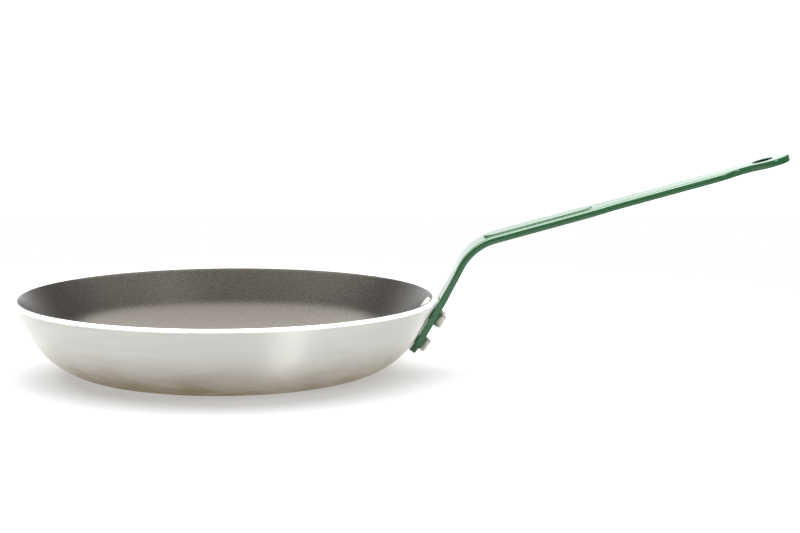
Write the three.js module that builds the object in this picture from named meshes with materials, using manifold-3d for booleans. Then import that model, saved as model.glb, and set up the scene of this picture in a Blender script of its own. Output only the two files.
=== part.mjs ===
// Nonstick frying pan: a pressed aluminium body with a nonstick lining inside,
// and a bent strip-steel handle held on by three solid rivets.
// Millimetres, +Z up. The origin is the centre of the underside, and the handle points along +X.

import * as THREE from 'three';
import { mergeVertices } from 'three/addons/utils/BufferGeometryUtils.js';
import Module from 'manifold-3d';

// Pan body
const RIM_DIAMETER = 280; // across the outer edge of the rim
const PAN_HEIGHT = 51; // underside to the inner edge of the rim
const WALL = 4.5; // sheet thickness, base and wall alike
const WALL_ANGLE = 60; // straight part of the wall, degrees from level
const BASE_BEND_RADIUS = 55; // outside, between the flat base and the wall
const RIM_ROUND = 1.2; // both edges of the rim

// Nonstick lining
const LINING_SEAT = 0.1; // gap between the body and the lining
const LINING_THICKNESS = 0.4;
const LINING_RIM_MARGIN = 1.3; // bare metal between the lining's edge and the rim's face

// Handle, a bent strip
const STRIP_THICKNESS = 4.5;
const STRIP_EDGE_ROUND = 1.5;
const TAB_CLEARANCE = 0.35; // between the wall and the tab
const TAB_LEAN = 5.5; // the tab's lower end is less steep than the wall, degrees
const TAB_TAIL = 8.5; // from the lower rivet to the tab's end
const TAB_END_WIDTH = 26;
const TAB_CORNER = 9;
const CURL_FADE = 24; // length above the wall over which the curved tab runs out flat
const RISER_LEAN = 5; // the riser is steeper than the wall, degrees
const RISER_BEND_RADIUS = 40;
const RISER_HEIGHT = 34.5; // from the rim to the corner of the grip's bend
const GRIP_ANGLE = 15.4; // degrees from level
const GRIP_BEND_RADIUS = 36;
const GRIP_LENGTH = 216; // from the corner of the bend to the tip
const ROOT_WIDTH = 34;
const GRIP_WIDTH = 29;
const NECK_WIDTH = 19;
const EYE_WIDTH = 28; // round end with the hang hole
const TIP_FLAT = 6; // straight stretch left at the middle of the round end

// Where the strip changes its width
const TAB_FLARE = 60; // length over which the tab widens to the root's width
const ROOT_TAPER = 18; // length of the step from the root's width to the grip's
const NECK_TAPER = 17; // length of the step from the grip's width to the neck's
const NECK_FROM_TIP = 32; // from the end of that step to the tip

// Pressed panel on the grip
const PANEL_START = 9.5; // from the corner of the bend
const PANEL_LENGTH = 74;
const PANEL_WIDTH = 19;
const PANEL_RAISE = 0.9;
const PANEL_BEVEL = 0.5;
const PANEL_WALL = 1.5; // between the panel's side and the hollow under it

// Hang hole
const HANG_HOLE_DIAMETER = 13.5;
const HANG_HOLE_FROM_TIP = 17.5;

// Rivets
const RIVET_DIAMETER = 6;
const RIVET_CLEARANCE = 0.3; // round the shank
const RIVET_SEAT = 0.3; // under both heads
const UPPER_RIVET_DROP = 11.5; // below the rim
const UPPER_RIVET_SPACING = 16;
const OUTER_HEAD_DIAMETER = 9.5;
const OUTER_HEAD_HEIGHT = 4.2;
const OUTER_HEAD_CHAMFER = 0.6;
const INNER_HEAD_DIAMETER = 15;
const INNER_HEAD_HEIGHT = 2.2;
const INNER_HEAD_EDGE = 0.9; // height of the head's side, below its dome

// Fineness of the facets
const PAN_SEGMENTS = 80;
const BEND_STEPS = 7;
const ROUND_STEPS = 3;
const STRIP_EDGE_STEPS = 4;
const STRIP_COLUMNS = 6;
const STRIP_BEND_STEP = 7; // degrees
const STRIP_ROUND_STEPS = 6;
const TAPER_STEPS = 5;
const HOLE_SEGMENTS = 24;
const PANEL_END_STEPS = 12;
const DOME_STEPS = 4;
const STATION_GAP = 0.2; // least distance between two sections of the strip
const WELD = 1e-4; // vertices closer than this are one

const wasm = await Module();
wasm.setup();

const radians = THREE.MathUtils.degToRad;
const wallAngle = radians(WALL_ANGLE);
const touchAngle = wallAngle - radians(TAB_LEAN);
const riserAngle = wallAngle + radians(RISER_LEAN);
const gripAngle = radians(GRIP_ANGLE);

// The wall's own directions in its (radius, height) section: up along it, and square into the pan
const alongWall = new THREE.Vector2(Math.cos(wallAngle), Math.sin(wallAngle));
const intoPan = new THREE.Vector2(-Math.sin(wallAngle), Math.cos(wallAngle));

// The rim is cut square to the wall, so its outer edge is lower than its inner one. Its sharp corners
// lie outside the finished rim, by what the rounding takes off.
const roundedOff = RIM_ROUND * (Math.sin(wallAngle) + Math.cos(wallAngle) - 1);
const rimOuter = new THREE.Vector2(
  RIM_DIAMETER / 2 + roundedOff,
  PAN_HEIGHT + roundedOff - WALL * Math.cos(wallAngle),
);
const bendTop = BASE_BEND_RADIUS * (1 - Math.cos(wallAngle));
const baseRadius =
  rimOuter.x - (rimOuter.y - bendTop) / Math.tan(wallAngle) - BASE_BEND_RADIUS * Math.sin(wallAngle);
const liningOuter = WALL + LINING_SEAT;
const liningInner = liningOuter + LINING_THICKNESS;

// Closed geometry to a solid that can be joined and cut
function toSolid(geometry) {
  const bare = geometry.clone();
  bare.deleteAttribute('normal');
  bare.deleteAttribute('uv');
  const merged = mergeVertices(bare, WELD);
  const index = merged.index.array;
  const triangles = [];
  for (let i = 0; i < index.length; i += 3) {
    const [a, b, c] = index.slice(i, i + 3);
    if (a !== b && b !== c && c !== a) triangles.push(a, b, c);
  }
  return new wasm.Manifold(
    new wasm.Mesh({
      numProp: 3,
      vertProperties: Float32Array.from(merged.attributes.position.array),
      triVerts: Uint32Array.from(triangles),
    }),
  );
}

function toMesh(name, solid, material) {
  const { vertProperties, triVerts } = solid.getMesh();
  const geometry = new THREE.BufferGeometry();
  geometry.setAttribute('position', new THREE.BufferAttribute(vertProperties, 3));
  geometry.setIndex(new THREE.BufferAttribute(triVerts, 1));
  geometry.computeVertexNormals();
  const mesh = new THREE.Mesh(geometry, material);
  mesh.name = name;
  return mesh;
}

// Numbers from one value to another, both included
function spread(from, to, steps) {
  return Array.from({ length: steps + 1 }, (_, i) => from + ((to - from) * i) / steps);
}

// A profile of (radius, height) points turned about +Z
function turned(profile, segments) {
  return new THREE.LatheGeometry(profile, segments).rotateX(Math.PI / 2);
}

// Points of the bend, at a depth inside the body's outer surface, from the flat base up to the wall
function bendPoints(depth) {
  const radius = BASE_BEND_RADIUS - depth;
  return spread(0, wallAngle, BEND_STEPS).map(
    (angle) =>
      new THREE.Vector2(
        baseRadius + radius * Math.sin(angle),
        BASE_BEND_RADIUS - radius * Math.cos(angle),
      ),
  );
}

// A point of the wall, by its depth inside the outer surface and its distance below the rim's face
function wallPoint(depth, below) {
  return rimOuter.clone().addScaledVector(intoPan, depth).addScaledVector(alongWall, -below);
}

// A band between two depths, from the axis up to a distance below the rim's face
function bandProfile(outerDepth, innerDepth, below) {
  return [
    new THREE.Vector2(0, outerDepth),
    ...bendPoints(outerDepth),
    wallPoint(outerDepth, below),
    wallPoint(innerDepth, below),
    ...bendPoints(innerDepth).reverse(),
    new THREE.Vector2(0, innerDepth),
  ];
}

function bodyProfile() {
  const turns = spread(0, Math.PI / 2, ROUND_STEPS);
  const outerRound = turns.map((turn) =>
    wallPoint(RIM_ROUND * (1 - Math.cos(turn)), RIM_ROUND * (1 - Math.sin(turn))),
  );
  const innerRound = turns.map((turn) =>
    wallPoint(WALL - RIM_ROUND * (1 - Math.sin(turn)), RIM_ROUND * (1 - Math.cos(turn))),
  );
  return [
    new THREE.Vector2(0, 0),
    ...bendPoints(0),
    ...outerRound,
    ...innerRound,
    ...bendPoints(WALL).reverse(),
    new THREE.Vector2(0, WALL),
  ];
}

// The handle's centre line in the (X, Z) plane, with its corners rounded
const tabOffset = TAB_CLEARANCE + STRIP_THICKNESS / 2;
const touchRadius = BASE_BEND_RADIUS + tabOffset;
const directions = [touchAngle, wallAngle, riserAngle, gripAngle].map(
  (angle) => new THREE.Vector2(Math.cos(angle), Math.sin(angle)),
);
const touchPoint = new THREE.Vector2(
  baseRadius + touchRadius * Math.sin(touchAngle),
  BASE_BEND_RADIUS - touchRadius * Math.cos(touchAngle),
);
const tabEnd = touchPoint.clone().addScaledVector(directions[0], -TAB_TAIL);
const wallTop = wallPoint(-tabOffset, 0);
const riserFoot = pointAtHeight(wallTop, directions[1], PAN_HEIGHT);
const tabBend = meeting(touchPoint, directions[0], wallTop, directions[1]);
const gripCorner = pointAtHeight(riserFoot, directions[2], PAN_HEIGHT + RISER_HEIGHT);
const tip = gripCorner.clone().addScaledVector(directions[3], GRIP_LENGTH);

function pointAtHeight(start, direction, height) {
  return start.clone().addScaledVector(direction, (height - start.y) / direction.y);
}

function meeting(firstPoint, firstWay, secondPoint, secondWay) {
  const across = secondPoint.clone().sub(firstPoint);
  return firstPoint.clone().addScaledVector(firstWay, across.cross(secondWay) / firstWay.cross(secondWay));
}

// Line to a corner's rounding and follow the rounding
function roundCorner(path, corner, before, after, radius) {
  const turn = Math.asin(before.cross(after));
  const reach = radius * Math.tan(Math.abs(turn) / 2);
  const side = Math.sign(turn);
  const start = corner.clone().addScaledVector(before, -reach);
  const centre = start.clone().add(new THREE.Vector2(-before.y, before.x).multiplyScalar(side * radius));
  const from = before.angle() - (side * Math.PI) / 2;
  path.lineTo(start.x, start.y);
  path.absarc(centre.x, centre.y, radius, from, from + turn, side < 0);
}

function handlePath() {
  const path = new THREE.Path();
  path.moveTo(tabEnd.x, tabEnd.y);
  roundCorner(path, tabBend, directions[0], directions[1], touchRadius);
  roundCorner(path, riserFoot, directions[1], directions[2], RISER_BEND_RADIUS);
  roundCorner(path, gripCorner, directions[2], directions[3], GRIP_BEND_RADIUS);
  path.lineTo(tip.x, tip.y);
  return path;
}

// Distances along the centre line where the strip starts or ends something
const path = handlePath();
const stripLength = path.getLength();
const alongGrip = (fromCorner) => stripLength - GRIP_LENGTH + fromCorner;
const rootStart = TAB_CORNER + TAB_FLARE;
const rootEnd = alongGrip(PANEL_START + PANEL_LENGTH);
const neckEnd = stripLength - NECK_FROM_TIP;
const tabTop = path.getCurveLengths()[2];

function halfWidth(distance) {
  const { smoothstep, lerp } = THREE.MathUtils;
  const tab = lerp(TAB_END_WIDTH, ROOT_WIDTH, smoothstep(distance, TAB_CORNER, rootStart));
  const grip = lerp(tab, GRIP_WIDTH, smoothstep(distance, rootEnd, rootEnd + ROOT_TAPER));
  const width = lerp(grip, NECK_WIDTH, smoothstep(distance, neckEnd - NECK_TAPER, neckEnd));
  const insideEye = Math.max(stripLength - distance, 0);
  const strip = insideEye < EYE_WIDTH / 2 ? TIP_FLAT : width;
  return Math.max(strip / 2 - cornerCut(distance), eyeRound(insideEye));
}

// Half the eye's width at a distance inside its end
function eyeRound(inside) {
  const radius = EYE_WIDTH / 2;
  return inside < EYE_WIDTH ? Math.sqrt(radius ** 2 - (radius - inside) ** 2) : 0;
}

function cornerCut(distance) {
  const inside = Math.min(distance, TAB_CORNER);
  return TAB_CORNER - Math.sqrt(TAB_CORNER ** 2 - (TAB_CORNER - inside) ** 2);
}

// How far a point beside the middle of the tab curls in, to follow the round wall
function tabCurl(distance, across) {
  const radius = touchPoint.x / Math.sin(touchAngle);
  const fade = THREE.MathUtils.smoothstep(distance, tabTop, tabTop + CURL_FADE);
  return (across ** 2 / (2 * radius)) * (1 - fade);
}

// Distances of the cross-sections: close together at the bends, the tapers and the round ends
function stripStations() {
  const lengths = path.getCurveLengths();
  const turns = spread(0, Math.PI / 2, STRIP_ROUND_STEPS);
  const stations = new Set([0, stripLength]);
  path.curves.forEach((curve, i) => {
    const start = i ? lengths[i - 1] : 0;
    const turn = curve.isEllipseCurve ? Math.abs(curve.aEndAngle - curve.aStartAngle) : 0;
    const steps = Math.max(1, Math.ceil(turn / radians(STRIP_BEND_STEP)));
    spread(start, lengths[i], steps).forEach((distance) => stations.add(distance));
  });
  turns.forEach((turn) => stations.add(TAB_CORNER * (1 - Math.cos(turn))));
  turns.forEach((turn) => stations.add(stripLength - (EYE_WIDTH / 2) * (1 - Math.cos(turn))));
  turns.forEach((turn) => stations.add(stripLength - (EYE_WIDTH / 2) * (1 + Math.sin(turn))));
  spread(TAB_CORNER, rootStart, TAPER_STEPS).forEach((distance) => stations.add(distance));
  spread(tabTop, tabTop + CURL_FADE, TAPER_STEPS).forEach((distance) => stations.add(distance));
  spread(rootEnd, rootEnd + ROOT_TAPER, TAPER_STEPS).forEach((distance) => stations.add(distance));
  spread(neckEnd - NECK_TAPER, neckEnd, TAPER_STEPS).forEach((distance) => stations.add(distance));
  const sorted = [...stations].sort((a, b) => a - b);
  return sorted.filter((distance, i) => i === 0 || distance - sorted[i - 1] > STATION_GAP);
}

// A box with one slice for each station, bent along the centre line, with its long edges rounded
function stripGeometry() {
  const stations = stripStations();
  const slices = stations.length - 1;
  const geometry = new THREE.BoxGeometry(1, 1, 1, slices, STRIP_COLUMNS, STRIP_EDGE_STEPS);
  const position = geometry.attributes.position;
  for (let i = 0; i < position.count; i += 1) {
    const distance = stations[Math.round((position.getX(i) + 0.5) * slices)];
    const level = position.getZ(i);
    const turn = level * Math.PI;
    const half = halfWidth(distance) - STRIP_EDGE_ROUND * (1 - Math.cos(turn));
    const across = 2 * position.getY(i) * half;
    const flat = STRIP_THICKNESS / 2 - STRIP_EDGE_ROUND;
    const up = Math.sign(level) * flat + STRIP_EDGE_ROUND * Math.sin(turn) + tabCurl(distance, across);
    const along = Math.min(distance / stripLength, 1);
    const centre = path.getPoint(along);
    const way = path.getTangent(along);
    position.setXYZ(i, centre.x - way.y * up, across, centre.y + way.x * up);
  }
  return geometry;
}

// Matrix of a frame in the (X, Z) plane, with its +X at an angle from level and its +Z square to that
function frameAt(origin, angle, y = 0) {
  return new THREE.Matrix4().makeRotationY(-angle).setPosition(origin.x, y, origin.y);
}

const gripFrame = frameAt(gripCorner, gripAngle);

// The panel's plan on the grip, drawn in by a margin
function panelShape(margin) {
  const radius = PANEL_WIDTH / 2 - margin;
  const shape = new THREE.Shape();
  shape.absarc(PANEL_START + PANEL_WIDTH / 2, 0, radius, Math.PI / 2, (Math.PI * 3) / 2);
  shape.absarc(PANEL_START + PANEL_LENGTH - PANEL_WIDTH / 2, 0, radius, -Math.PI / 2, Math.PI / 2);
  return shape;
}

function panelSolid() {
  const geometry = new THREE.ExtrudeGeometry(panelShape(PANEL_BEVEL), {
    depth: STRIP_THICKNESS / 2 + PANEL_RAISE - 2 * PANEL_BEVEL,
    bevelSize: PANEL_BEVEL,
    bevelThickness: PANEL_BEVEL,
    bevelSegments: 1,
    curveSegments: PANEL_END_STEPS,
  });
  return toSolid(geometry.translate(0, 0, PANEL_BEVEL).applyMatrix4(gripFrame));
}

// The hollow that the pressing leaves in the underside
function panelHollow() {
  const underside = -STRIP_THICKNESS / 2;
  const past = STRIP_THICKNESS;
  const geometry = new THREE.ExtrudeGeometry(panelShape(PANEL_WALL), {
    depth: past + PANEL_RAISE,
    bevelEnabled: false,
    curveSegments: PANEL_END_STEPS,
  });
  return toSolid(geometry.translate(0, 0, underside - past).applyMatrix4(gripFrame));
}

function hangHole() {
  const geometry = new THREE.CylinderGeometry(
    HANG_HOLE_DIAMETER / 2,
    HANG_HOLE_DIAMETER / 2,
    2 * STRIP_THICKNESS,
    HOLE_SEGMENTS,
  );
  geometry.rotateX(Math.PI / 2).translate(GRIP_LENGTH - HANG_HOLE_FROM_TIP, 0, 0);
  return toSolid(geometry.applyMatrix4(gripFrame));
}

// The tab's outer face and both heads' seats, measured out of the pan from the wall's outer surface
const tabFace = TAB_CLEARANCE + STRIP_THICKNESS;
const outerSeat = tabFace + RIVET_SEAT;
const innerSeat = -(liningInner + RIVET_SEAT);

// A rivet's frame sits on the wall's outer surface, and its +Z points square out of the pan
const rivetFrame = (foot, slope, y) => frameAt(foot, slope - Math.PI, y);
const upperFoot = pointAtHeight(rimOuter, alongWall, PAN_HEIGHT - UPPER_RIVET_DROP);
const lowerFoot = new THREE.Vector2(
  baseRadius + BASE_BEND_RADIUS * Math.sin(touchAngle),
  BASE_BEND_RADIUS * (1 - Math.cos(touchAngle)),
);
const rivets = {
  rivet_upper_front: rivetFrame(upperFoot, wallAngle, -UPPER_RIVET_SPACING / 2),
  rivet_upper_back: rivetFrame(upperFoot, wallAngle, UPPER_RIVET_SPACING / 2),
  rivet_lower: rivetFrame(lowerFoot, touchAngle, 0),
};

// Hole for a rivet's shank, through the lining, the wall and the tab
function rivetHole(frame) {
  const radius = RIVET_DIAMETER / 2 + RIVET_CLEARANCE;
  const from = innerSeat - WALL;
  const to = outerSeat + WALL;
  const geometry = new THREE.CylinderGeometry(radius, radius, to - from, HOLE_SEGMENTS);
  geometry.rotateX(Math.PI / 2).translate(0, 0, (from + to) / 2);
  return toSolid(geometry.applyMatrix4(frame));
}

// Shank and formed head outside
function rivetShank() {
  const top = outerSeat + OUTER_HEAD_HEIGHT;
  const foot = innerSeat - INNER_HEAD_EDGE / 2;
  const head = OUTER_HEAD_DIAMETER / 2;
  return turned(
    [
      new THREE.Vector2(0, foot),
      new THREE.Vector2(RIVET_DIAMETER / 2, foot),
      new THREE.Vector2(RIVET_DIAMETER / 2, outerSeat),
      new THREE.Vector2(head, outerSeat),
      new THREE.Vector2(head, top - OUTER_HEAD_CHAMFER),
      new THREE.Vector2(head - OUTER_HEAD_CHAMFER, top),
      new THREE.Vector2(0, top),
    ],
    HOLE_SEGMENTS,
  );
}

// Low dome inside, with a side that reaches into the wall, to be cut to the wall's curve
function rivetDome() {
  const radius = INNER_HEAD_DIAMETER / 2;
  const rise = INNER_HEAD_HEIGHT - INNER_HEAD_EDGE;
  const ball = (radius ** 2 + rise ** 2) / (2 * rise);
  const apex = innerSeat - INNER_HEAD_HEIGHT;
  const dome = spread(0, Math.asin(radius / ball), DOME_STEPS).map(
    (angle) => new THREE.Vector2(ball * Math.sin(angle), apex + ball * (1 - Math.cos(angle))),
  );
  const midWall = -WALL / 2;
  return turned([...dome, new THREE.Vector2(radius, midWall), new THREE.Vector2(0, midWall)], HOLE_SEGMENTS);
}

function rivetSolid(frame) {
  const wall = toSolid(turned(bandProfile(0, liningInner + RIVET_SEAT, 0), PAN_SEGMENTS));
  const dome = toSolid(rivetDome().applyMatrix4(frame)).subtract(wall);
  return dome.add(toSolid(rivetShank().applyMatrix4(frame)));
}

const drilled = (solid) =>
  Object.values(rivets).reduce((rest, frame) => rest.subtract(rivetHole(frame)), solid);

// Materials
const aluminium = new THREE.MeshStandardMaterial({ color: 0xc8c6c2, roughness: 0.35, metalness: 1 });
const nonstick = new THREE.MeshStandardMaterial({ color: 0x4c4945, roughness: 0.55, metalness: 0.1 });
const greenCoat = new THREE.MeshStandardMaterial({ color: 0x2f7049, roughness: 0.22, metalness: 0 });
const rivetMetal = new THREE.MeshStandardMaterial({ color: 0xbcb8b0, roughness: 0.4, metalness: 1 });

// Assembly
const body = toSolid(turned(bodyProfile(), PAN_SEGMENTS));
const lining = toSolid(turned(bandProfile(liningOuter, liningInner, LINING_RIM_MARGIN), PAN_SEGMENTS));
const strip = toSolid(stripGeometry()).add(panelSolid()).subtract(panelHollow()).subtract(hangHole());

const pan = new THREE.Group();
pan.add(toMesh('pan_body', drilled(body), aluminium));
pan.add(toMesh('nonstick_lining', drilled(lining), nonstick));
pan.add(toMesh('handle', drilled(strip), greenCoat));
for (const [name, frame] of Object.entries(rivets)) {
  pan.add(toMesh(name, rivetSolid(frame), rivetMetal.clone()));
}

export default pan;
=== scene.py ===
import math

import bmesh
import bpy
import numpy as np
from mathutils import Matrix, Vector


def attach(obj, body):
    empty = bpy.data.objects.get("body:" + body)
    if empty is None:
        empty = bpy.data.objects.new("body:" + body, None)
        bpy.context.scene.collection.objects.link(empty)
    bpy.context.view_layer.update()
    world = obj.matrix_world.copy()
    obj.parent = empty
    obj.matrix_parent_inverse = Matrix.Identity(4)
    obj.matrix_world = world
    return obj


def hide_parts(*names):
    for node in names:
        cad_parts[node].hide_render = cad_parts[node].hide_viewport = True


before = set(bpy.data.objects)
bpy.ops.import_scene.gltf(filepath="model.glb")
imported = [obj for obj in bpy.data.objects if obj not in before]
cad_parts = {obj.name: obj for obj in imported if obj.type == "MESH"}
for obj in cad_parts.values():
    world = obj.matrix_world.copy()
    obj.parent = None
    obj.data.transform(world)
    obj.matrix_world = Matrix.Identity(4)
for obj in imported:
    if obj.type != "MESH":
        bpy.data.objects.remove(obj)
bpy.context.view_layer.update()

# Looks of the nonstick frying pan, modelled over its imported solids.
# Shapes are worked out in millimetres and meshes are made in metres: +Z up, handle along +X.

MM = 0.001

# Pan body
RIM_DIAMETER = 280  # across the outer edge of the rim
PAN_HEIGHT = 51  # underside to the inner edge of the rim
WALL = 4.5
WALL_ANGLE = math.radians(60)
BASE_BEND_RADIUS = 55
RIM_ROUND = 1.2  # of its inner edge
RIM_EDGE = 0.5  # of its outer edge

# Nonstick lining
LINING_SEAT = 0.1
LINING_THICKNESS = 0.4
LINING_TOP = 0.6  # its edge, below the rim's face
LINING_EDGE = 0.15  # rounding of that edge

# Handle, a bent strip
STRIP_THICKNESS = 4.5
TAB_CLEARANCE = 0.35
TAB_LEAN = math.radians(5.5)
TAB_TAIL = 8.5
TAB_END_WIDTH = 26
TAB_CORNER = 9
CURL_FADE = 24  # length above the wall over which the curved tab runs out flat
RISER_LEAN = math.radians(5)
RISER_BEND_RADIUS = 40
RISER_HEIGHT = 34.5
GRIP_ANGLE = math.radians(15.4)
GRIP_BEND_RADIUS = 36
GRIP_LENGTH = 216
ROOT_WIDTH = 34
GRIP_WIDTH = 29
NECK_WIDTH = 19
EYE_WIDTH = 28  # round end with the hang hole
EYE_FILLET = 4  # difference of width over which the neck runs into the eye
TIP_FLAT = 6
TAB_FLARE = 60
ROOT_TAPER = 18
NECK_TAPER = 17
NECK_FROM_TIP = 32

# The strip's edges: its sides bulge, and its top falls away towards them along the riser and the grip
SIDE_BULGE = 0.42
SIDE_CORNER = 0.4  # rounding between a side and the top or the underside
CROWN_WIDTH = 5.0
CROWN_HEIGHT = 0.65
PLAIN_WIDTH = 0.7  # of the same strips of the tab and the tip, which lie flat
END_EDGE = 0.7  # rounding of the strip's two ends
EDGE_CHANGE = 12  # length over which the crown comes in

# Pressed panel on the grip
PANEL_START = 9.5
PANEL_LENGTH = 74
PANEL_WIDTH = 19
PANEL_RAISE = 0.9
PANEL_SLOPE = 0.6  # width of its sloping side
PANEL_WALL = 1.5

# Hang hole
HANG_HOLE_RADIUS = 6.75
HANG_HOLE_FROM_TIP = 17.5
HANG_HOLE_EDGE = 0.6
HANG_HOLE_PATCH = 9.6  # half the side of the square of strip that is modelled round it

# Rivets
RIVET_RADIUS = 3
UPPER_RIVET_DROP = 11.5
UPPER_RIVET_SPACING = 16
RIVET_SEAT = 0.3
OUTER_HEAD_RADIUS = 4.75
OUTER_HEAD_HEIGHT = 4.2
OUTER_HEAD_ROUND = 0.6
OUTER_HEAD_DISH = 0.25
INNER_HEAD_RADIUS = 7.5
INNER_HEAD_HEIGHT = 2.2
INNER_HEAD_EDGE = 0.9

# Fineness of the meshes
PAN_SEGMENTS = 320
BASE_RINGS = 16
BEND_STEPS = 32
WALL_STEPS = 12
ROUND_STEPS = 8
COLUMNS = 128  # across the flat of the strip
CROWN_STEPS = 8
CORNER_STEPS = 4
SIDE_STEPS = 8
STATION = 1.2  # along the strip
BEND_STATION = 0.9
PANEL_STATION = 0.2  # along the panel's round ends
END_STEPS = 14
PATCH_RINGS = 5
RIVET_SEGMENTS = 64
STATION_GAP = 0.05


# Shapes in section


def direction(angle):
    return np.array([math.cos(angle), math.sin(angle)])


def normal(angle):
    return np.array([-math.sin(angle), math.cos(angle)])


def smoothstep(value, low, high):
    share = np.clip((value - low) / (high - low), 0, 1)
    return share * share * (3 - 2 * share)


def lerp(start, end, share):
    return start + (end - start) * share


rounded_off = RIM_EDGE * (math.sin(WALL_ANGLE) + math.cos(WALL_ANGLE) - 1)
rim_outer = np.array([
    RIM_DIAMETER / 2 + rounded_off,
    PAN_HEIGHT + rounded_off - WALL * math.cos(WALL_ANGLE),
])
bend_top = BASE_BEND_RADIUS * (1 - math.cos(WALL_ANGLE))
bend_reach = BASE_BEND_RADIUS * math.sin(WALL_ANGLE)
base_radius = rim_outer[0] - (rim_outer[1] - bend_top) / math.tan(WALL_ANGLE) - bend_reach
lining_outer = WALL + LINING_SEAT
lining_inner = lining_outer + LINING_THICKNESS


def wall_point(depth, below):
    """A point of the wall's section: depth is inside the outer surface, below is from the rim's face."""
    return rim_outer + depth * normal(WALL_ANGLE) - below * direction(WALL_ANGLE)


def bend_point(depth, angle):
    radius = BASE_BEND_RADIUS - depth
    return np.array([base_radius + radius * math.sin(angle), BASE_BEND_RADIUS - radius * math.cos(angle)])


def shell_side(depth, below):
    """Section of one side of the shell, from the axis to a distance below the rim's face."""
    floor = [np.array([radius, depth]) for radius in np.linspace(0, base_radius, BASE_RINGS + 1)[:-1]]
    bend = [bend_point(depth, angle) for angle in np.linspace(0, WALL_ANGLE, BEND_STEPS + 1)]
    top = wall_point(depth, below)
    wall = [lerp(bend[-1], top, share) for share in np.linspace(0, 1, WALL_STEPS + 1)[1:]]
    return floor + bend + wall


def body_profile():
    turns = np.linspace(0, math.pi / 2, ROUND_STEPS + 1)
    outer = shell_side(0, RIM_EDGE)
    rim = [
        wall_point(RIM_EDGE * (1 - math.cos(turn)), RIM_EDGE * (1 - math.sin(turn))) for turn in turns[1:]
    ]
    rim += [
        wall_point(WALL - RIM_ROUND * (1 - math.sin(turn)), RIM_ROUND * (1 - math.cos(turn)))
        for turn in turns
    ]
    inner = shell_side(WALL, RIM_ROUND)[::-1]
    return outer + rim + inner[1:], range(len(outer) - 1, len(outer) + len(rim) - 1)


def lining_profile():
    """Two sides of the coat, and its edge, which runs out on the rim's inner rounding."""
    outer = shell_side(lining_outer, RIM_ROUND)
    inner = shell_side(lining_inner, LINING_TOP + LINING_EDGE)
    reach = RIM_ROUND + LINING_SEAT
    wrap = math.asin((RIM_ROUND - LINING_TOP) / reach)
    edge = [
        wall_point(WALL - RIM_ROUND + reach * math.cos(turn), RIM_ROUND - reach * math.sin(turn))
        for turn in np.linspace(0, wrap, ROUND_STEPS + 1)[1:]
    ]
    for turn in np.linspace(0, math.pi / 2, ROUND_STEPS + 1)[:-1]:
        depth = lining_inner - LINING_EDGE * (1 - math.sin(turn))
        edge.append(wall_point(depth, LINING_TOP + LINING_EDGE * (1 - math.cos(turn))))
    return outer + edge + inner[::-1]


def lathe(profile, segments):
    """Vertices and faces of a closed profile of (radius, height) points, whose two ends lie on the axis."""
    turns = np.arange(segments) * 2 * math.pi / segments
    vertices = [(0, 0, profile[0][1])]
    for radius, height in profile[1:-1]:
        vertices += [(radius * math.cos(turn), radius * math.sin(turn), height) for turn in turns]
    vertices.append((0, 0, profile[-1][1]))
    last = len(vertices) - 1
    faces = []
    rings = []
    for ring in range(len(profile) - 1):
        for i in range(segments):
            j = (i + 1) % segments
            low, high = 1 + (ring - 1) * segments, 1 + ring * segments
            if ring == 0:
                faces.append((0, high + j, high + i))
            elif ring == len(profile) - 2:
                faces.append((low + i, low + j, last))
            else:
                faces.append((low + i, low + j, high + j, high + i))
            rings.append(ring)
    return vertices, faces, rings


# The handle's centre line, as runs of (length, place and slope at a distance along the run)


def straight(start, end, angle):
    return np.linalg.norm(end - start), lambda distance: (start + distance * direction(angle), angle)


def bend(start, radius, angle, turn):
    side = math.copysign(radius, turn)
    centre = start + side * normal(angle)

    def place(distance):
        slope = angle + distance / side
        return centre - side * normal(slope), slope

    return abs(side * turn), place


touch_angle = WALL_ANGLE - TAB_LEAN
riser_angle = WALL_ANGLE + RISER_LEAN
tab_offset = TAB_CLEARANCE + STRIP_THICKNESS / 2
touch_radius = BASE_BEND_RADIUS + tab_offset


def point_at_height(start, angle, height):
    return start + direction(angle) * (height - start[1]) / math.sin(angle)


touch_point = bend_point(-tab_offset, touch_angle)
tab_end = touch_point - TAB_TAIL * direction(touch_angle)
riser_foot = point_at_height(wall_point(-tab_offset, 0), WALL_ANGLE, PAN_HEIGHT)
grip_corner = point_at_height(riser_foot, riser_angle, PAN_HEIGHT + RISER_HEIGHT)
tip = grip_corner + GRIP_LENGTH * direction(GRIP_ANGLE)


def handle_runs():
    bend_end = bend_point(-tab_offset, WALL_ANGLE)
    riser_reach = RISER_BEND_RADIUS * math.tan(RISER_LEAN / 2)
    riser_start = riser_foot - riser_reach * direction(WALL_ANGLE)
    riser_end = riser_foot + riser_reach * direction(riser_angle)
    grip_turn = GRIP_ANGLE - riser_angle
    grip_reach = GRIP_BEND_RADIUS * math.tan(-grip_turn / 2)
    grip_start = grip_corner - grip_reach * direction(riser_angle)
    grip_end = grip_corner + grip_reach * direction(GRIP_ANGLE)
    return [
        straight(tab_end, touch_point, touch_angle),
        bend(touch_point, touch_radius, touch_angle, TAB_LEAN),
        straight(bend_end, riser_start, WALL_ANGLE),
        bend(riser_start, RISER_BEND_RADIUS, WALL_ANGLE, RISER_LEAN),
        straight(riser_end, grip_start, riser_angle),
        bend(grip_start, GRIP_BEND_RADIUS, riser_angle, grip_turn),
        straight(grip_end, tip, GRIP_ANGLE),
    ]


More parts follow.
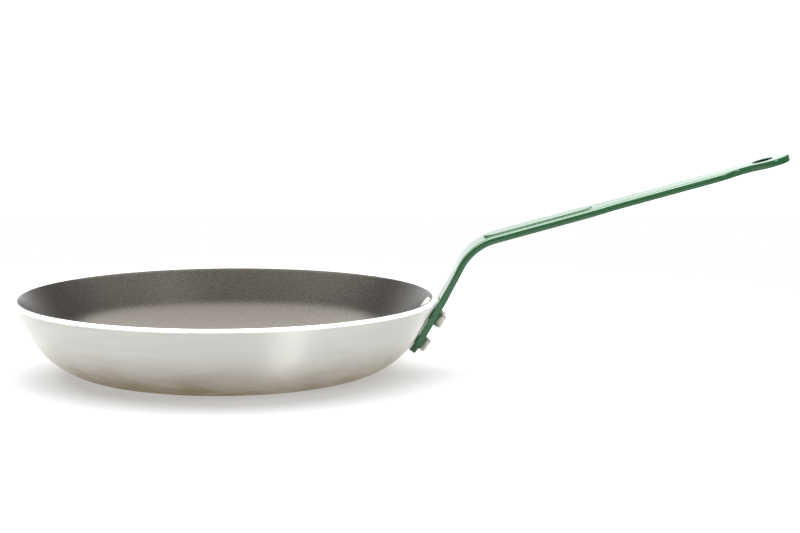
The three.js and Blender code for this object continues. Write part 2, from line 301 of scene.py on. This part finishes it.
runs = handle_runs()
run_ends = np.cumsum([length for length, _ in runs])
strip_length = run_ends[-1]
grip_zero = strip_length - GRIP_LENGTH
root_start = TAB_CORNER + TAB_FLARE
root_end = grip_zero + PANEL_START + PANEL_LENGTH
neck_end = strip_length - NECK_FROM_TIP
tab_top = run_ends[2]
grip_bend_end = run_ends[-2]


def strip_place(distance):
    run = min(int(np.searchsorted(run_ends, distance)), len(runs) - 1)
    length, place = runs[run]
    return place(distance - run_ends[run] + length)


def half_width(distance):
    tab = lerp(TAB_END_WIDTH, ROOT_WIDTH, smoothstep(distance, TAB_CORNER, root_start))
    grip = lerp(tab, GRIP_WIDTH, smoothstep(distance, root_end, root_end + ROOT_TAPER))
    half = lerp(grip, NECK_WIDTH, smoothstep(distance, neck_end - NECK_TAPER, neck_end)) / 2
    inside_tab = min(distance, TAB_CORNER)
    half -= TAB_CORNER - math.sqrt(TAB_CORNER**2 - (TAB_CORNER - inside_tab) ** 2)
    radius = EYE_WIDTH / 2
    inside_eye = strip_length - distance
    if inside_eye > EYE_WIDTH:
        return half
    eye = math.sqrt(radius**2 - (radius - inside_eye) ** 2)
    if inside_eye < radius:
        return max(eye, TIP_FLAT / 2)
    return max(half, eye) + max(EYE_FILLET - abs(half - eye), 0) ** 2 / (4 * EYE_FILLET)


def crown(distance):
    """Share of the crown that a place along the strip has."""
    grip = smoothstep(distance, tab_top, tab_top + EDGE_CHANGE)
    return grip * (1 - smoothstep(distance, neck_end - NECK_TAPER, neck_end))


def tab_curl(distance, across):
    """How far a point beside the middle of the tab curls in, to follow the round wall."""
    radius = touch_point[0] / math.sin(touch_angle)
    fade = smoothstep(distance, tab_top, tab_top + CURL_FADE)
    return across**2 / (2 * radius) * (1 - fade)


def end_inset(distance):
    """How far the section draws in at the strip's two ends, to round their edges."""
    inside = min(distance, strip_length - distance, END_EDGE)
    return END_EDGE - math.sqrt(END_EDGE**2 - (END_EDGE - inside) ** 2)


def section(distance):
    """Loop of (across, up) points: over the top from the near edge to the far one, and back underneath."""
    inset = end_inset(distance)
    half = half_width(distance) - inset
    thick = STRIP_THICKNESS / 2 - inset
    share = crown(distance)

    def side(height):
        """Half of one face, from its middle to the middle of the strip's side."""

        def bulge(up):
            return half - SIDE_BULGE * (up / thick) ** 2

        foot = thick - height
        corner = np.array([bulge(foot), foot])
        width = min(lerp(PLAIN_WIDTH, CROWN_WIDTH, share), corner[0] - STATION_GAP)
        radius = min(SIDE_CORNER, width / 2, foot / 2)
        falls = np.linspace(0, 1 - radius / width, CROWN_STEPS + 1)
        start = np.array([corner[0] - radius, thick - height * falls[-1] ** 2])
        end = np.array([bulge(foot - radius), foot - radius])
        turns = np.linspace(0, 1, CORNER_STEPS + 1)[1:, None]
        bent = start * (1 - turns) ** 2 + 2 * corner * turns * (1 - turns) + end * turns**2
        ups = np.linspace(end[1], 0, SIDE_STEPS + 1)[1:]
        flat = np.linspace(0, corner[0] - width, COLUMNS // 2 + 1)[:-1]
        across = [flat, corner[0] - width * (1 - falls), bent[:, 0], bulge(ups)]
        up = [np.full(len(flat), thick), thick - height * falls**2, bent[:, 1], ups]
        return np.concatenate(across), np.concatenate(up)

    top_across, top_up = side(CROWN_HEIGHT * share)
    under_across, under_up = side(0)
    across = [-top_across[:0:-1], top_across, under_across[-2::-1], -under_across[1:-1]]
    up = [top_up[:0:-1], top_up, -under_up[-2::-1], -under_up[1:-1]]
    return np.concatenate(across), np.concatenate(up)


def panel_depth(along, across):
    """Distance inside the panel's outline, negative outside it."""
    radius = PANEL_WIDTH / 2
    middle = np.clip(along, PANEL_START + radius, PANEL_START + PANEL_LENGTH - radius)
    return radius - np.hypot(along - middle, across)


def press_panel(places, across, upper):
    """Raises the grip's top to the panel, and the underside to the hollow behind it."""
    along = (places - grip_corner) @ direction(GRIP_ANGLE)
    up = (places - grip_corner) @ normal(GRIP_ANGLE)
    depth = panel_depth(along, across)
    top = lerp(up, STRIP_THICKNESS / 2 + PANEL_RAISE, smoothstep(depth, 0, PANEL_SLOPE))
    hollow = smoothstep(depth, PANEL_WALL, PANEL_WALL + PANEL_SLOPE)
    under = lerp(up, PANEL_RAISE - STRIP_THICKNESS / 2, hollow)
    pressed = np.where(upper, top, under)
    return places + np.outer(pressed - up, normal(GRIP_ANGLE))


def strip_stations():
    turns = np.linspace(0, math.pi / 2, END_STEPS + 1)
    rounds = 1 - np.cos(turns)
    panel_end = np.arange(0, PANEL_WIDTH / 2 + PANEL_WALL, PANEL_STATION)
    stations = np.concatenate([
        np.arange(0, strip_length, STATION),
        [strip_length],
        np.arange(run_ends[3], grip_bend_end, BEND_STATION),
        grip_zero + PANEL_START + panel_end,
        root_end - panel_end,
        TAB_CORNER * rounds,
        END_EDGE * rounds,
        strip_length - END_EDGE * rounds,
        strip_length - EYE_WIDTH / 2 * rounds,
        strip_length - EYE_WIDTH / 2 * (2 - rounds),
    ])
    stations = np.sort(stations)
    return stations[np.diff(stations, prepend=-1) > STATION_GAP]


def hole_rings(rim):
    """Rings of (along, across, up) points from a square of strip, over the hole's edge and through it."""
    angles = np.arctan2(rim[:, 1], rim[:, 0])
    circle = np.column_stack([np.cos(angles), np.sin(angles)])
    thick = STRIP_THICKNESS / 2
    edge = (HANG_HOLE_RADIUS + HANG_HOLE_EDGE) * circle
    upper = [
        np.column_stack([lerp(rim, edge, share), np.full(len(rim), thick)])
        for share in np.linspace(0, 1, PATCH_RINGS + 1)[1:]
    ]
    for turn in np.linspace(0, math.pi / 2, ROUND_STEPS + 1)[1:]:
        radius = HANG_HOLE_RADIUS + HANG_HOLE_EDGE * (1 - math.sin(turn))
        up = thick - HANG_HOLE_EDGE * (1 - math.cos(turn))
        upper.append(np.column_stack([radius * circle, np.full(len(rim), up)]))
    return upper + [ring * (1, 1, -1) for ring in upper[::-1]]


def strip_mesh():
    stations = strip_stations()
    vertices = []
    for distance in stations:
        across, up = section(distance)
        place, slope = strip_place(distance)
        curled = up + tab_curl(distance, across)
        places = press_panel(place + np.outer(curled, normal(slope)), across, up > 0)
        vertices += [(x, y, z) for (x, z), y in zip(places, across)]
    loop = len(across)
    hole = strip_length - HANG_HOLE_FROM_TIP
    rows = np.flatnonzero(abs(stations - hole) <= HANG_HOLE_PATCH)
    flat = np.linspace(-1, 1, COLUMNS + 1) * (EYE_WIDTH / 2 - SIDE_BULGE - PLAIN_WIDTH)
    columns = np.flatnonzero(abs(flat) <= HANG_HOLE_PATCH) + CROWN_STEPS + CORNER_STEPS + SIDE_STEPS
    first, last = rows[0], rows[-1]
    left, right = columns[0], columns[-1]
    faces = []
    for row in range(len(stations) - 1):
        for column in range(loop):
            here, beyond = row * loop, (row + 1) * loop
            after = (column + 1) % loop
            upper_column = min(column, loop - 1 - column)
            if first <= row < last and left <= upper_column < right:
                continue
            faces.append((here + column, here + after, beyond + after, beyond + column))
    faces.append(tuple(range(loop)))
    faces.append(tuple(range((len(stations) - 1) * loop, len(stations) * loop)))
    square = [(first, column) for column in range(left, right)]
    square += [(row, right) for row in range(first, last)]
    square += [(last, column) for column in range(right, left, -1)]
    square += [(row, left) for row in range(last, first, -1)]
    upper = [row * loop + column for row, column in square]
    lower = [row * loop + loop - column for row, column in square]
    rim = np.array([(stations[row] - hole, vertices[row * loop + column][1]) for row, column in square])
    rings = [upper]
    for ring in hole_rings(rim):
        start = len(vertices)
        for along, y, up in ring:
            x, z = strip_place(hole)[0] + along * direction(GRIP_ANGLE) + up * normal(GRIP_ANGLE)
            vertices.append((x, y, z))
        rings.append(list(range(start, start + len(ring))))
    rings.append(lower)
    bore = len(faces) + PATCH_RINGS * len(upper)
    for ring, inner in zip(rings, rings[1:]):
        for i in range(len(ring)):
            j = (i + 1) % len(ring)
            faces.append((ring[i], ring[j], inner[j], inner[i]))
    return vertices, faces, range(bore, len(faces) - PATCH_RINGS * len(upper))


# Rivets, turned about their own axis, which is square to the wall


def rivet_profile():
    outer_face = TAB_CLEARANCE + STRIP_THICKNESS
    outer_top = outer_face + RIVET_SEAT + OUTER_HEAD_HEIGHT
    inner_seat = -(lining_inner + RIVET_SEAT)
    apex = inner_seat - INNER_HEAD_HEIGHT
    rise = INNER_HEAD_HEIGHT - INNER_HEAD_EDGE
    ball = (INNER_HEAD_RADIUS**2 + rise**2) / (2 * rise)
    edge = math.asin(INNER_HEAD_RADIUS / ball)
    turns = np.linspace(0, math.pi / 2, ROUND_STEPS + 1)
    dome = [
        (ball * math.sin(angle), apex + ball * (1 - math.cos(angle)))
        for angle in np.linspace(0, edge, ROUND_STEPS + 1)
    ]
    head = [
        (
            OUTER_HEAD_RADIUS - OUTER_HEAD_ROUND * (1 - math.cos(turn)),
            outer_top - OUTER_HEAD_ROUND * (1 - math.sin(turn)),
        )
        for turn in turns
    ]
    dish_rim = OUTER_HEAD_RADIUS - OUTER_HEAD_ROUND
    dish = [
        (dish_rim * share, outer_top - OUTER_HEAD_DISH * (1 - share**2))
        for share in np.linspace(1, 0, ROUND_STEPS + 1)[1:]
    ]
    shank = [
        (INNER_HEAD_RADIUS, -WALL / 2),
        (RIVET_RADIUS, -WALL / 2),
        (RIVET_RADIUS, outer_face - TAB_CLEARANCE),
        (OUTER_HEAD_RADIUS, outer_face - TAB_CLEARANCE),
    ]
    return dome + shank + head + dish


def rivet_frame(foot, slope, y):
    """Matrix of a rivet's frame on the wall's outer surface, with its +Z square out of the pan."""
    up = -direction(slope)
    out = -normal(slope)
    return Matrix((
        (up[0], 0, out[0], foot[0]),
        (0, 1, 0, y),
        (up[1], 0, out[1], foot[1]),
        (0, 0, 0, 1),
    ))


upper_foot = point_at_height(rim_outer, WALL_ANGLE, PAN_HEIGHT - UPPER_RIVET_DROP)
lower_foot = bend_point(0, touch_angle)
RIVETS = {
    "rivet_upper_front": rivet_frame(upper_foot, WALL_ANGLE, -UPPER_RIVET_SPACING / 2),
    "rivet_upper_back": rivet_frame(upper_foot, WALL_ANGLE, UPPER_RIVET_SPACING / 2),
    "rivet_lower": rivet_frame(lower_foot, touch_angle, 0),
}


# Materials


class Graph:
    """Short ways to add nodes to a material's or a world's tree."""

    def __init__(self, tree):
        self.tree = tree

    def node(self, kind, inputs=None, **settings):
        made = self.tree.nodes.new(kind)
        for name, value in settings.items():
            setattr(made, name, value)
        for key, value in (inputs or {}).items():
            self.put(value, made.inputs[key])
        return made

    def put(self, value, socket):
        if isinstance(value, bpy.types.NodeSocket):
            self.tree.links.new(value, socket)
        else:
            socket.default_value = value

    def math(self, operation, *values):
        return self.node("ShaderNodeMath", dict(enumerate(values)), operation=operation).outputs[0]

    def place(self):
        return self.node("ShaderNodeTexCoord").outputs["Object"]

    def split(self, vector):
        return self.node("ShaderNodeSeparateXYZ", {0: vector}).outputs

    def noise(self, vector, scale, detail=2.0):
        inputs = {"Vector": vector, "Scale": scale, "Detail": detail}
        return self.node("ShaderNodeTexNoise", inputs).outputs["Fac"]

    def ramp(self, value, low, high, to_low=0.0, to_high=1.0):
        inputs = {"Value": value, "From Min": low, "From Max": high, "To Min": to_low, "To Max": to_high}
        return self.node("ShaderNodeMapRange", inputs, interpolation_type="SMOOTHSTEP").outputs[0]

    def blend(self, share, first, second, kind="MIX"):
        inputs = {0: share, 6: first, 7: second}
        return self.node("ShaderNodeMix", inputs, data_type="RGBA", blend_type=kind).outputs[2]

    def bump(self, height, strength, distance):
        inputs = {"Height": height, "Strength": strength, "Distance": distance}
        return self.node("ShaderNodeBump", inputs).outputs["Normal"]

    def axis_place(self):
        """The place across the pan's axis as a vector, its distance from the axis, and its height."""
        x, y, z = self.split(self.place())
        flat = self.node("ShaderNodeCombineXYZ", {0: x, 1: y}).outputs[0]
        radius = self.node("ShaderNodeVectorMath", {0: flat}, operation="LENGTH").outputs["Value"]
        return flat, radius, z

    def round_axis(self, along, across):
        """Coordinates in which noise makes streaks round the axis: along is per radian, across per metre."""
        flat, radius, z = self.axis_place()
        way = self.node("ShaderNodeVectorMath", {0: flat}, operation="NORMALIZE").outputs[0]
        way = self.node("ShaderNodeVectorMath", {0: way, "Scale": along}, operation="SCALE").outputs[0]
        level = self.math("MULTIPLY", self.math("ADD", radius, z), across)
        way_x, way_y, _ = self.split(way)
        return self.node("ShaderNodeCombineXYZ", {0: way_x, 1: way_y, 2: level}).outputs[0]


def new_material(name, **constants):
    """A material with its graph and shader, whose sockets take the constants."""
    material = bpy.data.materials.new(name)
    material.use_nodes = True
    shader = material.node_tree.nodes["Principled BSDF"]
    for key, value in constants.items():
        shader.inputs[key.replace("_", " ")].default_value = value
    return material, Graph(material.node_tree), shader.inputs


def colour(red, green, blue):
    return (red, green, blue, 1)


MIDDLE = (0.3, 0.7)  # most values of a noise lie between these
INNER_MIDDLE = (0.35, 0.65)
BRUSHED_ROUND = 0.25  # turn of the brushing, as a share of a whole turn


def brushed_metal(name, strength):
    """A metal that is brushed round the pan's axis."""
    material, graph, inputs = new_material(name, Metallic=1.0, Anisotropic=strength)
    inputs["Anisotropic Rotation"].default_value = BRUSHED_ROUND
    tangent = graph.node("ShaderNodeTangent", direction_type="RADIAL", axis="Z").outputs[0]
    graph.put(tangent, inputs["Tangent"])
    return material, graph, inputs


# The wall's brushing, and painted shade towards its base: the floor's shadow, as the bent wall mirrors it.
# Streaks are counted to a radian along and to a metre across. A bump has a strength and a height in metres.
# The painted shade fades out between two heights, in metres.
BROAD_STREAKS = (2, 420)
FINE_STREAKS = (4, 2000)
PAINTED_SHADE_PATCHES = (5, 60)
METAL = colour(0.79, 0.785, 0.74)
METAL_BAND = colour(0.815, 0.81, 0.765)
METAL_STREAK = colour(0.88, 0.875, 0.83)
STREAK_SHARE = 0.3
# Painted shade: a darker, warmer multiply of the wall towards its base, standing for the floor's shadow
# mirrored there
PAINTED_SHADE_COLOUR = colour(0.41, 0.29, 0.14)
PAINTED_SHADE_SHARES = (0.82, 1.1)
PAINTED_SHADE_HEIGHTS = (-0.006, 0.0345)
SHADE_FAINT_WAY = (0.47, -0.88)  # direction from the axis in which the painted shade is fainter, a painted highlight where the front lamp's gleam runs down the wall
SHADE_FAINT_REACH = (0.84, 1.0)
SHADE_FAINT_SHARE = 0.81
WALL_ROUGHNESS = (0.38, 0.49)
WALL_BUMP = (0.12, 0.00003)


def brushed_aluminium():
    material, graph, inputs = brushed_metal("brushed_aluminium", 1.0)
    broad = graph.noise(graph.round_axis(*BROAD_STREAKS), 1.0, 3.0)
    fine = graph.noise(graph.round_axis(*FINE_STREAKS), 1.0, 2.0)
    metal = graph.blend(graph.ramp(broad, *MIDDLE), METAL, METAL_BAND)
    metal = graph.blend(graph.ramp(fine, *INNER_MIDDLE, 0.0, STREAK_SHARE), metal, METAL_STREAK)
    height = graph.split(graph.place())[2]
    # Painted shade towards the base, made weaker along the front lamp's highlight, which is painted
    # highlight there
    patches = graph.noise(graph.round_axis(*PAINTED_SHADE_PATCHES), 1.0, 3.0)
    wall_painted_shade = graph.ramp(patches, *INNER_MIDDLE, *PAINTED_SHADE_SHARES)
    way_x, way_y, _ = graph.split(graph.round_axis(1, 0))
    facing_x = graph.math("MULTIPLY", way_x, SHADE_FAINT_WAY[0])
    facing = graph.math("ADD", facing_x, graph.math("MULTIPLY", way_y, SHADE_FAINT_WAY[1]))
    wall_painted_shade = graph.math("MULTIPLY", wall_painted_shade, graph.ramp(facing, *SHADE_FAINT_REACH, 1.0, SHADE_FAINT_SHARE))
    painted_shade_share = graph.math("MULTIPLY", graph.ramp(height, *PAINTED_SHADE_HEIGHTS, 1.0, 0.0), wall_painted_shade)
    metal = graph.blend(painted_shade_share, metal, PAINTED_SHADE_COLOUR, "MULTIPLY")
    graph.put(metal, inputs["Base Color"])
    graph.put(graph.ramp(fine, *MIDDLE, *WALL_ROUGHNESS), inputs["Roughness"])
    graph.put(graph.bump(fine, *WALL_BUMP), inputs["Normal"])
    return material


# The rim's face, turned and bare
RIM_LINES = (8, 3000)
RIM_BRUSHING = 0.4
RIM_DULL = colour(0.82, 0.82, 0.815)
RIM_BRIGHT = colour(0.92, 0.92, 0.915)
RIM_ROUGHNESS = (0.3, 0.4)
RIM_BUMP = (0.2, 0.00002)


def cut_rim():
    material, graph, inputs = brushed_metal("cut_rim", RIM_BRUSHING)
    lines = graph.noise(graph.round_axis(*RIM_LINES), 1.0, 2.0)
    graph.put(graph.blend(lines, RIM_DULL, RIM_BRIGHT), inputs["Base Color"])
    graph.put(graph.ramp(lines, *MIDDLE, *RIM_ROUGHNESS), inputs["Roughness"])
    graph.put(graph.bump(lines, *RIM_BUMP), inputs["Normal"])
    return material


# The lining: dark, with a warm sheen and pale specks. Noises are counted to a metre.
LINING_IOR = 1.85
LINING_SHEEN = colour(1.0, 0.92, 0.81)
LINING_GRAIN = 1300.0
LINING_SPECKS = 2300.0
LINING_CLOUDS = 22.0
LINING_DARK = colour(0.019, 0.0172, 0.015)
LINING_PALE = colour(0.028, 0.0253, 0.022)
SPECK_COLOUR = colour(0.17, 0.155, 0.13)
SPECK_PEAKS = (0.58, 0.74)  # only the noise's peaks are specks
LINING_ROUGHNESS = (0.21, 0.3)
LINING_BUMP = (0.35, 0.00012)


def nonstick():
    material, graph, inputs = new_material("nonstick", IOR=LINING_IOR, Specular_Tint=LINING_SHEEN)
    place = graph.place()
    grain = graph.noise(place, LINING_GRAIN, 2.0)
    specks = graph.noise(place, LINING_SPECKS, 1.0)
    cloud = graph.noise(place, LINING_CLOUDS, 3.0)
    base = graph.blend(cloud, LINING_DARK, LINING_PALE)
    base = graph.blend(graph.ramp(specks, *SPECK_PEAKS), base, SPECK_COLOUR)
    graph.put(base, inputs["Base Color"])
    graph.put(graph.ramp(grain, *MIDDLE, *LINING_ROUGHNESS), inputs["Roughness"])
    graph.put(graph.bump(grain, *LINING_BUMP), inputs["Normal"])
    return material


# The handle's gloss coat, with painted shade inside the hang hole
COAT_IOR = 1.55
COAT_CLOUDS = 45.0
COAT_WAVES = 90.0
COAT_DEEP = colour(0.028, 0.15, 0.051)
COAT_PALE = colour(0.035, 0.178, 0.062)
# painted shade for the inside of the hang hole, and the share of it there
COAT_SHADE = colour(0.006, 0.024, 0.012)
RECESS_SHADE = 0.8
COAT_ROUGHNESS = (0.06, 0.1)
COAT_BUMP = (0.02, 0.0004)


def green_coat(name, shade):
    material, graph, inputs = new_material(name, IOR=COAT_IOR)
    place = graph.place()
    cloud = graph.noise(place, COAT_CLOUDS, 3.0)
    waves = graph.noise(place, COAT_WAVES, 1.0)
    base = graph.blend(cloud, COAT_DEEP, COAT_PALE)
    # painted shade, mixed in at the given share
    graph.put(graph.blend(shade, base, COAT_SHADE), inputs["Base Color"])
    graph.put(graph.ramp(cloud, *MIDDLE, *COAT_ROUGHNESS), inputs["Roughness"])
    graph.put(graph.bump(waves, *COAT_BUMP), inputs["Normal"])
    return material


# The rivets, as formed
RIVET_MARKS = 900.0
RIVET_DENTS = 260.0
RIVET_DULL = colour(0.58, 0.555, 0.51)
RIVET_BRIGHT = colour(0.77, 0.745, 0.7)
RIVET_ROUGHNESS = (0.42, 0.58)
RIVET_BUMP = (0.25, 0.0002)


def rivet_metal():
    material, graph, inputs = new_material("rivet_metal", Metallic=1.0)
    place = graph.place()
    marks = graph.noise(place, RIVET_MARKS, 4.0)
    dents = graph.noise(place, RIVET_DENTS, 2.0)
    graph.put(graph.blend(marks, RIVET_DULL, RIVET_BRIGHT), inputs["Base Color"])
    graph.put(graph.ramp(marks, *MIDDLE, *RIVET_ROUGHNESS), inputs["Roughness"])
    graph.put(graph.bump(dents, *RIVET_BUMP), inputs["Normal"])
    return material


# Pieces


def make_piece(name, node, slot, vertices, faces, *materials):
    mesh = bpy.data.meshes.new(name)
    mesh.from_pydata((np.array(vertices) * MM).tolist(), [], faces)
    shaped = bmesh.new()
    shaped.from_mesh(mesh)
    bmesh.ops.recalc_face_normals(shaped, faces=shaped.faces)
    shaped.to_mesh(mesh)
    shaped.free()
    for material in materials:
        mesh.materials.append(material)
    mesh.shade_smooth()
    piece = bpy.data.objects.new(name, mesh)
    bpy.context.scene.collection.objects.link(piece)
    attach(piece, "root")
    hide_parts(node)
    return piece


def make_body():
    profile, rim = body_profile()
    vertices, faces, rings = lathe(profile, PAN_SEGMENTS)
    piece = make_piece(
        "body_shell", "pan_body", "aluminium", vertices, faces, brushed_aluminium(), cut_rim()
    )
    piece.data.polygons.foreach_set("material_index", [int(ring in rim) for ring in rings])


def make_lining():
    vertices, faces, _ = lathe(lining_profile(), PAN_SEGMENTS)
    make_piece("lining_coat", "nonstick_lining", "nonstick", vertices, faces, nonstick())


def make_handle():
    vertices, faces, bore = strip_mesh()
    coat = green_coat("green_coat", 0.0)
    # the faces inside the hang hole take the coat with painted shade
    hole_painted_shade = green_coat("green_painted_shade", RECESS_SHADE)
    piece = make_piece("handle_strip", "handle", "green_coat", vertices, faces, coat, hole_painted_shade)
    piece.data.polygons.foreach_set("material_index", [int(face in bore) for face in range(len(faces))])


def make_rivets():
    metal = rivet_metal()
    vertices, faces, _ = lathe(rivet_profile(), RIVET_SEGMENTS)
    for node, matrix in RIVETS.items():
        placed = [matrix @ Vector(vertex) for vertex in vertices]
        make_piece(node.replace("rivet", "set_rivet"), node, "rivet", placed, faces, metal)


make_body()
make_lining()
make_handle()
make_rivets()


# Camera, fitted to the photographed rim and handle

CAMERA_PLACE = (0.1146, -1.6277, 0.2907)
CAMERA_DROP = math.radians(7.706)
LENS = 112.5
SENSOR = 36.0


def make_camera():
    data = bpy.data.cameras.new("camera")
    data.lens = LENS
    data.sensor_width = SENSOR
    camera = bpy.data.objects.new("camera", data)
    camera.location = CAMERA_PLACE
    camera.rotation_euler = (math.pi / 2 - CAMERA_DROP, 0, 0)
    bpy.context.scene.collection.objects.link(camera)
    bpy.context.scene.camera = camera


# Studio

FLOOR_REACH = 0.9  # its far edge, which lies in the white
FLOOR_FRONT = 0.62  # the table's edge in front of the pan
FLOOR_SIDE = 0.88  # its edges beside the pan
FLOOR_COLOUR = colour(0.54, 0.54, 0.54)
FLOOR_LIFT = 0.42  # added where the floor is seen, so that it reads as white
FLOOR_NEAR = 0.42  # the object's shadow lies within this radius
FLOOR_FAR = 0.6  # beyond this radius the floor is plain white
WHITE = colour(1, 1, 1)

# The room, by the direction from the pan: to the side, to the back and up, from -1 to 1
ROOM_COLOUR = colour(0.96, 0.975, 1.0)
AMBIENT = 0.3  # share of the room's light that reaches matt surfaces
FRONT_LEVEL = 0.2
BACK_LEVEL = 1.38
BACK_REACH = (0.5, 1.05)
BACK_TURN = 0.2  # the bright back lies more to the left
GLOW = 0.3  # and is this much brighter just right of the middle
GLOW_DEPTH = (0.92, 0.97)
GLOW_SIDE = (0.0, 0.09)
BAND_LEVEL = 0.7  # low band of light in front, above the table
BAND_FOOT = (0.0, 0.06)
BAND_TOP = (0.15, 0.35)
BAND_FRONT = (-0.75, -0.3)

# Softboxes, with their width and height
TOP_PLACE = (-0.1, 0.98, 1.6)
TOP_TARGET = (-0.1, 0.98, 0.0)
TOP_SIZE = (3.9, 3.8)
TOP_POWER = 118
FRONT_PLACE = (1.31, -1.51, 1.3)
FRONT_TARGET = (0.0, 0.0, 0.03)
FRONT_SIZE = (0.62, 0.9)
FRONT_POWER = 10


def seen_ray(graph):
    """1 where the camera sees a surface, straight on, mirrored or through glass."""
    rays = graph.node("ShaderNodeLightPath").outputs
    seen = graph.math("MAXIMUM", rays["Is Camera Ray"], rays["Is Glossy Ray"])
    return graph.math("MAXIMUM", seen, rays["Is Transmission Ray"])


def make_floor():
    material = bpy.data.materials.new("floor")
    material.use_nodes = True
    tree = material.node_tree
    tree.nodes.clear()
    graph = Graph(tree)
    _, radius, _ = graph.axis_place()
    far = graph.ramp(radius, FLOOR_NEAR, FLOOR_FAR)
    seen = seen_ray(graph)
    lit = graph.node("ShaderNodeBsdfDiffuse", {"Color": FLOOR_COLOUR}).outputs[0]
    lift = graph.node("ShaderNodeEmission", {"Color": WHITE, "Strength": FLOOR_LIFT}).outputs[0]
    white = graph.node("ShaderNodeEmission", {"Color": WHITE, "Strength": 1.0}).outputs[0]
    near = graph.node("ShaderNodeAddShader", {0: lit, 1: lift}).outputs[0]
    shown = graph.node("ShaderNodeMixShader", {0: far, 1: near, 2: white}).outputs[0]
    whole = graph.node("ShaderNodeMixShader", {0: seen, 1: lit, 2: shown}).outputs[0]
    graph.node("ShaderNodeOutputMaterial", {"Surface": whole})
    mesh = bpy.data.meshes.new("floor")
    corners = [
        (-FLOOR_SIDE, -FLOOR_FRONT, 0),
        (FLOOR_SIDE, -FLOOR_FRONT, 0),
        (FLOOR_SIDE, FLOOR_REACH, 0),
        (-FLOOR_SIDE, FLOOR_REACH, 0),
    ]
    mesh.from_pydata(corners, [], [(0, 1, 2, 3)])
    mesh.materials.append(material)
    floor = bpy.data.objects.new("floor", mesh)
    bpy.context.scene.collection.objects.link(floor)


def make_world():
    world = bpy.data.worlds.new("studio")
    world.use_nodes = True
    tree = world.node_tree
    tree.nodes.clear()
    graph = Graph(tree)
    way = graph.node("ShaderNodeTexCoord").outputs["Generated"]
    side, depth, height = graph.split(way)
    back = graph.math("SUBTRACT", depth, graph.math("MULTIPLY", side, BACK_TURN))
    level = graph.ramp(back, *BACK_REACH, FRONT_LEVEL, BACK_LEVEL)
    glow = graph.math("MULTIPLY", graph.ramp(depth, *GLOW_DEPTH), graph.ramp(side, *GLOW_SIDE, 0.0, GLOW))
    level = graph.math("MULTIPLY", level, graph.math("ADD", glow, 1.0))
    above = graph.ramp(height, *BAND_FOOT, 0.0, BAND_LEVEL)
    band = graph.math("MULTIPLY", above, graph.ramp(height, *BAND_TOP, 1.0, 0.0))
    band = graph.math("MULTIPLY", band, graph.ramp(depth, *BAND_FRONT, 1.0, 0.0))
    level = graph.math("MAXIMUM", level, band)
    share = graph.ramp(seen_ray(graph), 0.0, 1.0, AMBIENT, 1.0)
    camera = graph.node("ShaderNodeLightPath").outputs["Is Camera Ray"]
    strength = graph.math("MAXIMUM", graph.math("MULTIPLY", level, share), camera)
    tint = graph.blend(camera, ROOM_COLOUR, WHITE)
    room = graph.node("ShaderNodeBackground", {"Color": tint, "Strength": strength}).outputs[0]
    graph.node("ShaderNodeOutputWorld", {"Surface": room})
    bpy.context.scene.world = world


def make_lamp(name, shape, place, target, size, power):
    data = bpy.data.lights.new(name, "AREA")
    data.shape = shape
    data.size, data.size_y = size
    data.energy = power
    lamp = bpy.data.objects.new(name, data)
    lamp.location = place
    lamp.rotation_euler = (Vector(target) - Vector(place)).to_track_quat("-Z", "Y").to_euler()
    lamp.visible_camera = False
    bpy.context.scene.collection.objects.link(lamp)


make_camera()
make_floor()
make_world()
make_lamp("top_softbox", "ELLIPSE", TOP_PLACE, TOP_TARGET, TOP_SIZE, TOP_POWER)
make_lamp("front_softbox", "RECTANGLE", FRONT_PLACE, FRONT_TARGET, FRONT_SIZE, FRONT_POWER)

bpy.context.scene.view_settings.view_transform = "Standard"
